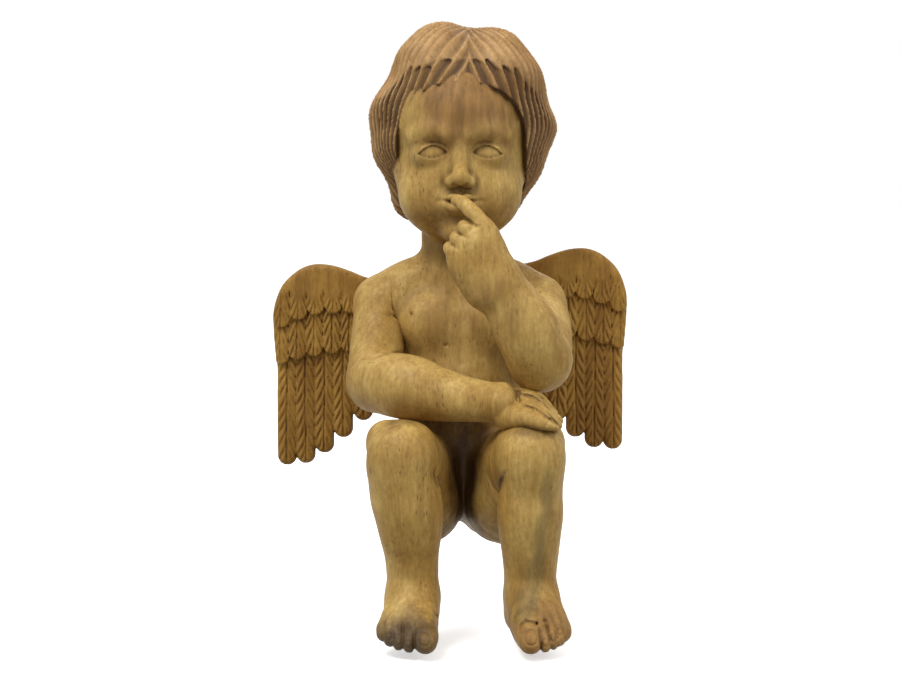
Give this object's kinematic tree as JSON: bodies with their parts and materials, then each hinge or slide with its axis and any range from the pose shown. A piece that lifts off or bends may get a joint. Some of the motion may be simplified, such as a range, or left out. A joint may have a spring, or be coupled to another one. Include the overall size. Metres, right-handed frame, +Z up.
{
  "type": "carved wooden seated cherub figurine",
  "caption": "Carved wooden winged child figure that sits on a shelf's edge, one hand raised to the mouth, with plug-in feathered wings.",
  "frame": {"origin": "centre of the planed underside of the seat, on the plane of the shelf it sits on; the lower legs hang below it", "axes": "the figure faces -Y, +X is the figure's own left, +Z is up"},
  "size_m": [0.298, 0.239, 0.4887],
  "materials": {
    "body_wood": "satin",
    "hair_wood": "satin",
    "wing_wood": "satin",
    "dowel_wood": "matte"
  },
  "bodies": {
    "figure": {"torso": "body_wood", "head": "hair_wood", "right_arm": "body_wood", "left_arm": "body_wood", "right_lower_leg": "body_wood", "left_lower_leg": "body_wood", "neck_dowel": "dowel_wood", "right_shoulder_dowel": "dowel_wood", "left_shoulder_dowel": "dowel_wood", "right_knee_dowel": "dowel_wood", "left_knee_dowel": "dowel_wood"},
    "right_wing_set": {"right_wing": "wing_wood", "right_wing_peg_upper": "dowel_wood", "right_wing_peg_lower": "dowel_wood"},
    "left_wing_set": {"left_wing": "wing_wood", "left_wing_peg_upper": "dowel_wood", "left_wing_peg_lower": "dowel_wood"}
  },
  "joints": [
    {"name": "right_wing_pull", "type": "slide", "parent": "figure", "child": "right_wing_set", "axis": [0, 1, 0], "range_m": [0, 0.03]},
    {"name": "left_wing_pull", "type": "slide", "parent": "figure", "child": "left_wing_set", "axis": [0, 1, 0], "range_m": [0, 0.03]}
  ]
}
